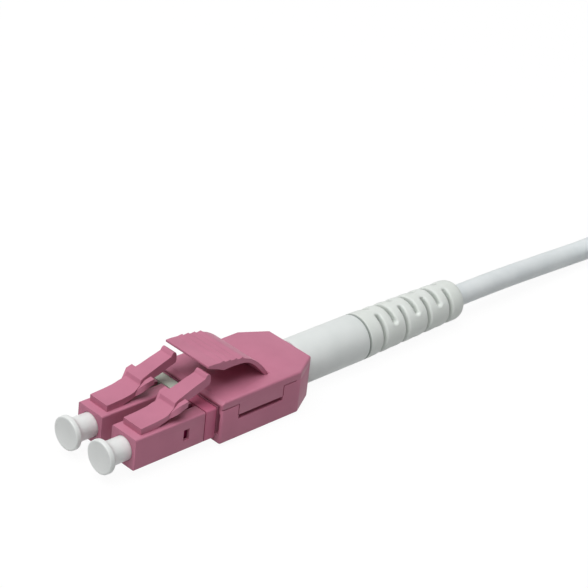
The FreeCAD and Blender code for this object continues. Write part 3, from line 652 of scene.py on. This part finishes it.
def softened(node, name, slot, material, cut_above=None, carved=()):
    """A merged copy of a CAD node with its hard edges broken by a small bevel.  First it is
    cut level at a height above the axes, and the boxes are carved out of it."""
    bm = bmesh.new()
    bm.from_mesh(nodes[node].data)
    bmesh.ops.remove_doubles(bm, verts=bm.verts, dist=1e-6)
    if cut_above is not None:
        bmesh.ops.bisect_plane(bm, geom=bm.verts[:] + bm.edges[:] + bm.faces[:], dist=1e-7,
                               plane_co=(0, 0, (PLUG_Z + cut_above) * MM),
                               plane_no=(0, 0, 1), clear_outer=True)
        bmesh.ops.holes_fill(bm, edges=[e for e in bm.edges if e.is_boundary], sides=0)
    bmesh.ops.dissolve_limit(bm, angle_limit=math.radians(1.0), verts=bm.verts, edges=bm.edges)
    for face in bm.faces:
        face.smooth = True
    mesh = bpy.data.meshes.new(name)
    bm.to_mesh(mesh)
    bm.free()
    piece = placed(name, mesh)
    cutters = [cutter_box(box) for box in carved]
    for cutter in cutters:
        carve = piece.modifiers.new("carve", "BOOLEAN")
        carve.operation = "DIFFERENCE"
        carve.solver = "EXACT"
        carve.object = cutter
    bevelled(piece, MOULD_EDGE)
    for cutter in cutters:
        old = cutter.data
        bpy.data.objects.remove(cutter)
        bpy.data.meshes.remove(old)
    return finish_piece(piece, "connector", slot, material, node)


PITCH = 6.25
JOINT = (10.8, 11.05)  # a sunk line all round parts each collar from its plug
JOINT_HALF = 1.95
WINDOW = (7.0, 9.5)    # and the catch lies deep in its window
WINDOW_HALF = 1.2
CATCH_SUNK = 1.62
PAST = 3.0             # beyond the collar's outside


def collar_cuts(y):
    """The joint's four sides and the two windows, to carve out of a collar."""
    return ((*JOINT, y + JOINT_HALF, y + PAST, -PAST, PAST),
            (*JOINT, y - PAST, y - JOINT_HALF, -PAST, PAST),
            (*JOINT, y - PAST, y + PAST, JOINT_HALF, PAST),
            (*JOINT, y - PAST, y + PAST, -PAST, -JOINT_HALF),
            (*WINDOW, y + CATCH_SUNK, y + PAST, -WINDOW_HALF, WINDOW_HALF),
            (*WINDOW, y - PAST, y - CATCH_SUNK, -WINDOW_HALF, WINDOW_HALF))


crimson_plastic = moulded("crimson_plastic", (0.58, 0.155, 0.26), (0.53, 0.135, 0.235), 0.45,
                          shine=0.3)
grey_green_plastic = moulded("grey_green_plastic", (0.57, 0.65, 0.55), (0.52, 0.60, 0.50), 0.45,
                             shine=0.3)
collar = softened("rear_body_right", "collar_right", "crimson_plastic", crimson_plastic,
                  carved=collar_cuts(-PITCH / 2))
softened("rear_body_left", "collar_left", "grey_green_plastic", grey_green_plastic,
         carved=collar_cuts(PITCH / 2))

# Inside the plug the crimson is painted darker and deeper in colour: painted shade for what shows
# in the window.
crimson_painted_shade = moulded("crimson_painted_shade", (0.24, 0.008, 0.07), (0.21, 0.007, 0.06), 0.6, shine=0.1)
collar.data.materials.append(crimson_painted_shade)
# Faces ahead of the joint, inside the plug, take the painted shade.
for face in collar.data.polygons:
    if face.center.x < (PLUG_X + JOINT[0]) * MM:
        face.material_index = 1


# ---------------------------------------------------------------- plugs with their latches
# Each plug is one rose moulding: a square body with a bore for the ferrule, and a sprung
# lever that rises from its top, widens into two catches and ends in a lip for the trigger.
PLUG_TOP = 2.15
rose_plastic = moulded("rose_plastic", (0.56, 0.2, 0.296), (0.52, 0.183, 0.272), 0.5, shine=0.3)


def bezier(points, steps):
    """Points along a cubic curve, both ends included."""
    a, b, c, d = (Vector(p) for p in points)
    out = []
    for k in range(steps + 1):
        t = k / steps
        out.append(tuple(a * (1 - t) ** 3 + b * 3 * t * (1 - t) ** 2
                         + c * 3 * t * t * (1 - t) + d * t ** 3))
    return out


def spread(points, count):
    """The same line with its points spread evenly along it."""
    points = [Vector(p) for p in points]
    runs = [0.0]
    for a, b in zip(points, points[1:]):
        runs.append(runs[-1] + (b - a).length)
    out = []
    for k in range(count):
        want = runs[-1] * k / (count - 1)
        i = max(j for j in range(len(runs) - 1) if runs[j] <= want + 1e-9)
        t = (want - runs[i]) / (runs[i + 1] - runs[i])
        out.append(tuple(points[i].lerp(points[i + 1], min(t, 1))))
    return out


def strip(bm, tops, bottoms, widths, y):
    """A closed bar between a top and a bottom line (x, z), as wide as widths say.
    Its middle is at y, one place or one for each point."""
    rings = []
    middles = y if isinstance(y, list) else [y] * len(tops)
    for (xt, zt), (xb, zb), (wt, wb), mid in zip(tops, bottoms, widths, middles):
        rings.append([bm.verts.new(Vector(p) * MM) for p in (
            (PLUG_X + xt, mid + wt, PLUG_Z + zt), (PLUG_X + xt, mid - wt, PLUG_Z + zt),
            (PLUG_X + xb, mid - wb, PLUG_Z + zb), (PLUG_X + xb, mid + wb, PLUG_Z + zb))])
    for a, b in zip(rings, rings[1:]):
        for j in range(4):
            k = (j + 1) % 4
            bm.faces.new((a[j], a[k], b[k], b[j]))
    bm.faces.new(rings[0][::-1])
    bm.faces.new(rings[-1])


def table_value(keys, x):
    """Straight-line reading of a small table of (x, value)."""
    if x <= keys[0][0]:
        return keys[0][1]
    for (a, va), (b, vb) in zip(keys, keys[1:]):
        if x <= b:
            return va + (vb - va) * (x - a) / (b - a)
    return keys[-1][1]


# The lever's outline as (x, z), and half widths as (x, half), in mm from the plug's front and
# the ferrule's axis.
BLOCK_TOP = [(1.2, 3.02), (3.4, 3.14)]  # of the block at its root
BLOCK_SUNK = 0.08                       # depth of the block in the plug's top
RISE = [(4.6, 3.27), (5.3, 3.38), (5.95, 3.66), (6.38, 3.95)]
CATCH_STEP = [(6.44, 4.03), (6.5, 4.46), (6.58, 4.58), (6.9, 4.66)]
TIP_TOP = [(8.3, 5.05), (9.8, 5.53), (11.0, 5.885), (11.52, 6.05), (11.74, 6.42), (11.9, 6.52),
           (12.1, 6.5), (12.28, 6.36), (12.42, 6.0)]
TIP_UNDER = [(9.5, 4.15), (10.4, 4.41), (11.2, 4.64), (11.7, 4.79), (11.85, 4.84),
             (12.0, 4.88), (12.15, 4.93), (12.3, 4.98), (12.45, 5.35)]
LEVER_HALF = [(5.4, 1.6), (6.1, 1.42), (6.5, 1.37), (7.2, 1.15), (12.5, 1.0)]
CATCH_TOP = [(5.3, 2.95), (5.9, 3.48), (6.3, 3.86), (6.8, 4.29), (7.08, 4.5), (7.4, 4.56),
             (8.0, 4.68)]
CATCH_HALF = [(5.9, 1.5), (6.4, 1.7), (6.8, 1.93), (7.1, 2.1), (8.0, 2.13)]
CATCH_DROP = 0.05  # its underside is this much below the lever's
GROOVE = 1.44      # half width at which its wings start, clear of the lever
BAR_DROP = 0.35    # top of the bar between its wings, below theirs
BAR_LEAST = 0.1    # and its least thickness
BAR_INSET = 0.05   # and how far its ends lie inside theirs
FLEX_Z = 2.9       # middle of the thin stretch where the lever bends
FLEX_HALF = 0.4    # half its thickness


def lever_underside(steps):
    """The curve under the lever from the thin stretch to the catches' rear."""
    return bezier([(RISE[0][0], FLEX_Z - FLEX_HALF), (5.62, 2.614), (6.64, 3.644), (8.0, 3.93)],
                  steps)


def latch_mesh(name, y):
    """The block, the lever and its two catches, as closed bars that run into each other."""
    bm = bmesh.new()
    tops = BLOCK_TOP + bezier(RISE, 6) + CATCH_STEP + TIP_TOP
    bottoms = [(x, PLUG_TOP - BLOCK_SUNK) for x, z in BLOCK_TOP] + lever_underside(10) + TIP_UNDER
    strip(bm, tops, bottoms, [(table_value(LEVER_HALF, top[0]),
                               table_value(LEVER_HALF, min(top[0], bottom[0])))
                              for top, bottom in zip(tops, bottoms)], y)
    # The catch is a low bar across, and a wing on each side with a groove beside the lever.
    under = [(x, z - CATCH_DROP) for x, z in spread(lever_underside(24), len(CATCH_TOP))]
    low = [(x, max(z - BAR_DROP, bottom[1] + BAR_LEAST))
           for (x, z), bottom in zip(CATCH_TOP, under)]
    halves = [table_value(CATCH_HALF, x) for x, z in CATCH_TOP]
    strip(bm, low, under, [(half - BAR_INSET,) * 2 for half in halves], y)
    for wing in (-1, 1):
        strip(bm, CATCH_TOP, under, [((half - GROOVE) / 2,) * 2 for half in halves],
              [y + wing * (half + GROOVE) / 2 for half in halves])
    return finish_mesh(bm, name)


for side, sign in SIDES.items():
    y = sign * PITCH / 2
    softened("plug_housing_" + side, "plug_" + side, "rose_plastic", rose_plastic,
             cut_above=PLUG_TOP)
    lever = placed("lever_" + side, latch_mesh("lever_" + side, y))
    bevelled(lever, width=0.07)
    finish_piece(lever, None, "rose_plastic", rose_plastic, "latch_" + side)
    y * MM
    y * MM
    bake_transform(lever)


# ---------------------------------------------------------------- rear housing
# Two rose shells hold the collars and the crimp.  The cover snaps down over the lower body:
# a tongue on each side drops into a notch and hooks in, above an open slot.
# The front wall is relieved round each collar, and a fine line shows where the shells meet.
SHELL_FRONT = 13.0
# Boxes to carve out of one side, as (front, rear, inner, outer, foot, head) in mm.
FRONT_RELIEF = (
    (SHELL_FRONT, 14.05, 5.05, 5.62, 0.25, 1.2), (SHELL_FRONT, 13.9, 5.05, 5.6, -1.7, 0.3),
    (SHELL_FRONT, 13.5, 5.05, 5.42, 1.1, 2.2), (SHELL_FRONT, 13.5, 0.95, 5.42, 2.0, 2.24))
LINE_SIDE = (5.81, 6.2)  # from the floor of the line to outside the shell
LINE_HEAD = 1.92
PARTING = tuple((front, rear, *LINE_SIDE, foot, LINE_HEAD) for front, rear, foot in (
    (SHELL_FRONT, 15.9, 1.78), (23.45, 25.6, 1.78), (15.84, 15.98, 0.35), (23.37, 23.51, 0.35)))


def both_sides(boxes):
    """The boxes on the right, then the same on the left."""
    return [(front, rear, *sorted((side * inner, side * outer)), foot, head)
            for side in (-1, 1) for front, rear, inner, outer, foot, head in boxes]


for node, name in (("lower_body", "lower_shell"), ("upper_cover", "cover")):
    softened(node, name, "rose_plastic", rose_plastic,
             carved=both_sides(FRONT_RELIEF) + both_sides(PARTING))


# ---------------------------------------------------------------- trigger
# A sprung rose strip arches from the cover over both latch lips.  Pressing its ribbed pad
# bends it at the root and pushes the two latches down together.
TAB_HALF = 3.9
# Its outlines as (x, z) from the plugs' front and axes, from its lip to its root.
TAB_TOP = [(12.02, 7.38), (12.1, 7.45), (12.9, 7.44), (14.0, 7.33), (14.7, 7.23), (15.0, 7.19),
           (16.0, 7.04), (16.9, 6.87), (17.6, 6.74), (18.2, 6.58), (18.8, 6.34), (19.4, 6.03),
           (20.0, 5.64), (20.55, 5.2), (21.1, 4.68), (21.62, 4.1), (22.1, 3.49), (22.58, 2.82)]
TAB_UNDER = [(12.04, 7.16), (12.28, 7.02), (13.1, 6.74), (14.0, 6.41), (14.72, 6.05), (15.0, 6.07),
             (16.0, 6.09), (16.9, 6.06), (17.6, 6.01), (18.05, 5.95), (18.5, 5.83), (19.0, 5.63),
             (19.5, 5.33), (20.0, 4.94), (20.5, 4.47), (21.0, 3.93), (21.5, 3.35), (21.98, 2.8)]


def trigger_mesh():
    """The strip between its two outlines, across both latches."""
    bm = bmesh.new()
    strip(bm, TAB_TOP, TAB_UNDER, [(TAB_HALF, TAB_HALF)] * len(TAB_TOP), 0)
    return finish_mesh(bm, "trigger_strip")


trigger = placed("trigger_strip", trigger_mesh())
bevelled(trigger, width=0.1, segments=3)
finish_piece(trigger, None, "rose_plastic", rose_plastic, "trigger_tab")
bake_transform(trigger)


def geometry_tree(name, sizes):
    """An empty node tree over geometry with named sizes, and its modifier sockets by name."""
    tree = bpy.data.node_groups.new(name, "GeometryNodeTree")
    tree.interface.new_socket("Geometry", in_out="INPUT", socket_type="NodeSocketGeometry")
    tree.interface.new_socket("Geometry", in_out="OUTPUT", socket_type="NodeSocketGeometry")
    keys = {}
    for size, kind in sizes:
        socket = tree.interface.new_socket(size, in_out="INPUT", socket_type="NodeSocket" + kind)
        keys[size] = socket.identifier
    return tree, keys


def grown(piece, tree, keys, values):
    """Run a tree on a piece with these sizes, and keep the plain mesh that it makes."""
    modifier = piece.modifiers.new(tree.name, "NODES")
    modifier.node_group = tree
    for size, value in values.items():
        modifier[keys[size]] = value
    baked(piece)


# The finger ribs are one ridge repeated down the pad.
RIB_COUNT = 4
RIB_PITCH = 1.05
RIB_START = (13.84, 7.345)
RIB_FALL = 0.165  # the pad falls this much for each mm to the rear
RIB_INSET = 0.02  # from the pad's sides
RIB_PROFILE = [   # share of the pitch, height above the pad
    (0, -0.14), (0, -0.01), (0.35, 0.09), (0.66, 0.18), (0.76, 0.2), (0.83, 0.15),
    (0.92, -0.04), (0.92, -0.12)]
rib_tree, rib_keys = geometry_tree("finger_ribs", [
    ("Count", "Int"), ("Step", "Vector"), ("Finish", "Material")])
rib_in = rib_tree.nodes.new("NodeGroupInput")
rib_out = rib_tree.nodes.new("NodeGroupOutput")
rib_line = rib_tree.nodes.new("GeometryNodeMeshLine")
rib_line.mode = "OFFSET"
rib_copies = rib_tree.nodes.new("GeometryNodeInstanceOnPoints")
rib_real = rib_tree.nodes.new("GeometryNodeRealizeInstances")
rib_finish = rib_tree.nodes.new("GeometryNodeSetMaterial")
for a, b in ((rib_in.outputs["Count"], rib_line.inputs["Count"]),
             (rib_in.outputs["Step"], rib_line.inputs["Offset"]),
             (rib_line.outputs["Mesh"], rib_copies.inputs["Points"]),
             (rib_in.outputs["Geometry"], rib_copies.inputs["Instance"]),
             (rib_copies.outputs["Instances"], rib_real.inputs["Geometry"]),
             (rib_real.outputs["Geometry"], rib_finish.inputs["Geometry"]),
             (rib_in.outputs["Finish"], rib_finish.inputs["Material"]),
             (rib_finish.outputs["Geometry"], rib_out.inputs["Geometry"])):
    rib_tree.links.new(a, b)


def rib_mesh():
    """The first ridge, right across the pad."""
    bm = bmesh.new()
    profile = []
    for share, height in RIB_PROFILE:
        run = share * RIB_PITCH
        profile.append((RIB_START[0] + run, RIB_START[1] - RIB_FALL * run + height))
    rows = [[bm.verts.new(Vector((PLUG_X + px, y, PLUG_Z + pz)) * MM) for px, pz in profile]
            for y in (-TAB_HALF + RIB_INSET, TAB_HALF - RIB_INSET)]
    for j in range(len(profile)):
        k = (j + 1) % len(profile)
        bm.faces.new((rows[0][j], rows[0][k], rows[1][k], rows[1][j]))
    bm.faces.new(rows[0])
    bm.faces.new(rows[1][::-1])
    return finish_mesh(bm, "finger_ribs")


ribs = placed("finger_ribs", rib_mesh())
bevelled(ribs, width=0.03, angle=50)
grown(ribs, rib_tree, rib_keys, {
    "Count": RIB_COUNT, "Step": (RIB_PITCH * MM, 0, -RIB_FALL * RIB_PITCH * MM),
    "Finish": rose_plastic})
finish_piece(ribs, "trigger", "rose_plastic", rose_plastic)


# ---------------------------------------------------------------- dust caps
# Soft white caps keep the ferrules clean.  Each is a round flange on a short stem that
# pushes into the plug's bore, and is pulled off by its flange.
# The profile as (x, radius), x from the plug's front, with a blind bore for the ferrule.
CAP_FLANGE = [(-3.58, 0.0), (-3.58, 1.74), (-3.61, 1.86), (-3.64, 1.98), (-3.63, 2.1),
              (-3.57, 2.18), (-3.46, 2.2), (-3.1, 2.21), (-2.97, 2.18), (-2.88, 2.1)]
CAP_NECK = [(-2.83, 2.02), (-2.7, 1.76), (-2.4, 1.6), (-1.8, 1.56)]
CAP_STEM = [(1.4, 1.55), (1.54, 1.5), (1.6, 1.38), (1.6, 0.68), (-2.74, 0.68), (-3.01, 0.0)]
cap_profile = [(PLUG_X + x, r) for x, r in CAP_FLANGE + bezier(CAP_NECK, 8) + CAP_STEM]
cap_white = moulded("cap_plastic", (0.86, 0.88, 0.865), (0.82, 0.84, 0.825), 0.4,
                    grain_size=0.15, depth=0.4)
for side, sign in SIDES.items():
    mesh = lathe("cap_" + side, cap_profile, 72, sign * PITCH / 2, PLUG_Z)
    new_piece("cap_" + side, mesh, "dust_cap_" + side, "cap_plastic", cap_white,
              "dust_cap_" + side)


# ---------------------------------------------------------------- cut end and ties
# The cable's far end is cut square, ready to be spliced: its yarn and two buffered fibres
# show.  Each run of the hank is held by a soft white strap, wound once round its cords with
# its end laid over its start, on its side.
CUT = route[-1] / MM
CUT_HIDDEN = 1.0  # length of each end piece inside the jacket
end_pieces = []
for name, slot, material, radius, reach, aside in (
        ("cut_yarn", "aramid", aramid, 1.0, 0.3, 0.0),
        ("cut_fibre_left", "fibre_buffer", buffer, 0.45, 3.2, 0.48),
        ("cut_fibre_right", "fibre_buffer", buffer, 0.45, 2.9, -0.48)):
    profile = rounded([(CUT.x + CUT_HIDDEN, 0), (CUT.x - reach, 0), (CUT.x - reach, radius),
                       (CUT.x + CUT_HIDDEN, radius)], 0.12)
    end_pieces.append(new_piece(name, lathe(name, profile, 32, CUT.y + aside, CUT.z),
                                "connector", slot, material))

TIE_WIDE = 5.0
TIE_THICK = 0.3
TIE_CORNER = 1.5
TIE_LAP = 4.0    # length of the end that lies over the start
TIE_CLIMB = 1.0  # length in which it rises onto it
TIE_STEP = 0.4
TIE_LIFT = 0.03  # clear of the table


def loop_points(y0, y1, z0, z1):
    """Points and outward directions, one step apart, round a section with round corners,
    from the middle of its side."""
    line = [(Vector((y1, (z0 + z1) / 2)), Vector((1, 0)))]
    for y, z, turn in ((y1, z0, 0), (y0, z0, -90), (y0, z1, -180), (y1, z1, -270)):
        middle = Vector((y - TIE_CORNER if y == y1 else y + TIE_CORNER,
                         z - TIE_CORNER if z == z1 else z + TIE_CORNER))
        for step in range(7):
            a = math.radians(turn - 15 * step)
            out = Vector((math.cos(a), math.sin(a)))
            line.append((middle + out * TIE_CORNER, out))
    points = []
    for (p, u), (q, v) in zip(line, line[1:] + line[:1]):
        steps = max(1, round((q - p).length / TIE_STEP))
        points += [(p.lerp(q, i / steps), u.lerp(v, i / steps)) for i in range(steps)]
    return points


def tie_mesh(name, x, y0, y1, z0, z1):
    """A strap round a run: its middle line goes once round and on over its own start."""
    once = loop_points(y0, y1, z0, z1)
    around = sum((q - p).length for (p, _), (q, _) in zip(once, once[1:] + once[:1]))
    path, gone = [], 0.0
    for (p, u), (q, _) in zip(once * 2, (once * 2)[1:]):
        if gone > around + TIE_LAP:
            break
        climb = min(max((gone - around + TIE_CLIMB) / TIE_CLIMB, 0), 1)
        path.append((p + u * TIE_THICK * climb, u))
        gone += (q - p).length
    rows = []
    edge = TIE_THICK / 2
    for side, turn in ((-1, 90), (-1, 60), (-1, 30), (-1, 0), (1, 0), (1, 30), (1, 60), (1, 90)):
        across = side * (TIE_WIDE / 2 - edge + edge * math.sin(math.radians(turn)))
        half = edge * math.cos(math.radians(turn))
        ring = [p + u * half for p, u in path] + [p - u * half for p, u in reversed(path)]
        rows.append([(x + across, *q) for q in ring])
    return grid_mesh(name, rows)


strap = moulded("tie_strap", (0.78, 0.80, 0.79), (0.70, 0.72, 0.71), 0.7,
                grain_size=0.3, relief=0.02)
tie_half = 2 * CABLE_R + TIE_THICK / 2
ties = []
for side, name in ((1, "tie_left"), (-1, "tie_right")):
    middle = HANK_Y + side * HANK_R
    mesh = tie_mesh(name, HANK_X + HANK_RUN / 2, middle - tie_half, middle + tie_half,
                    TIE_THICK / 2 + TIE_LIFT, HANK_LAYERS * 2 * CABLE_R)
    ties.append(new_piece(name, mesh, "connector", "boot_elastomer", strap))
ties + end_pieces
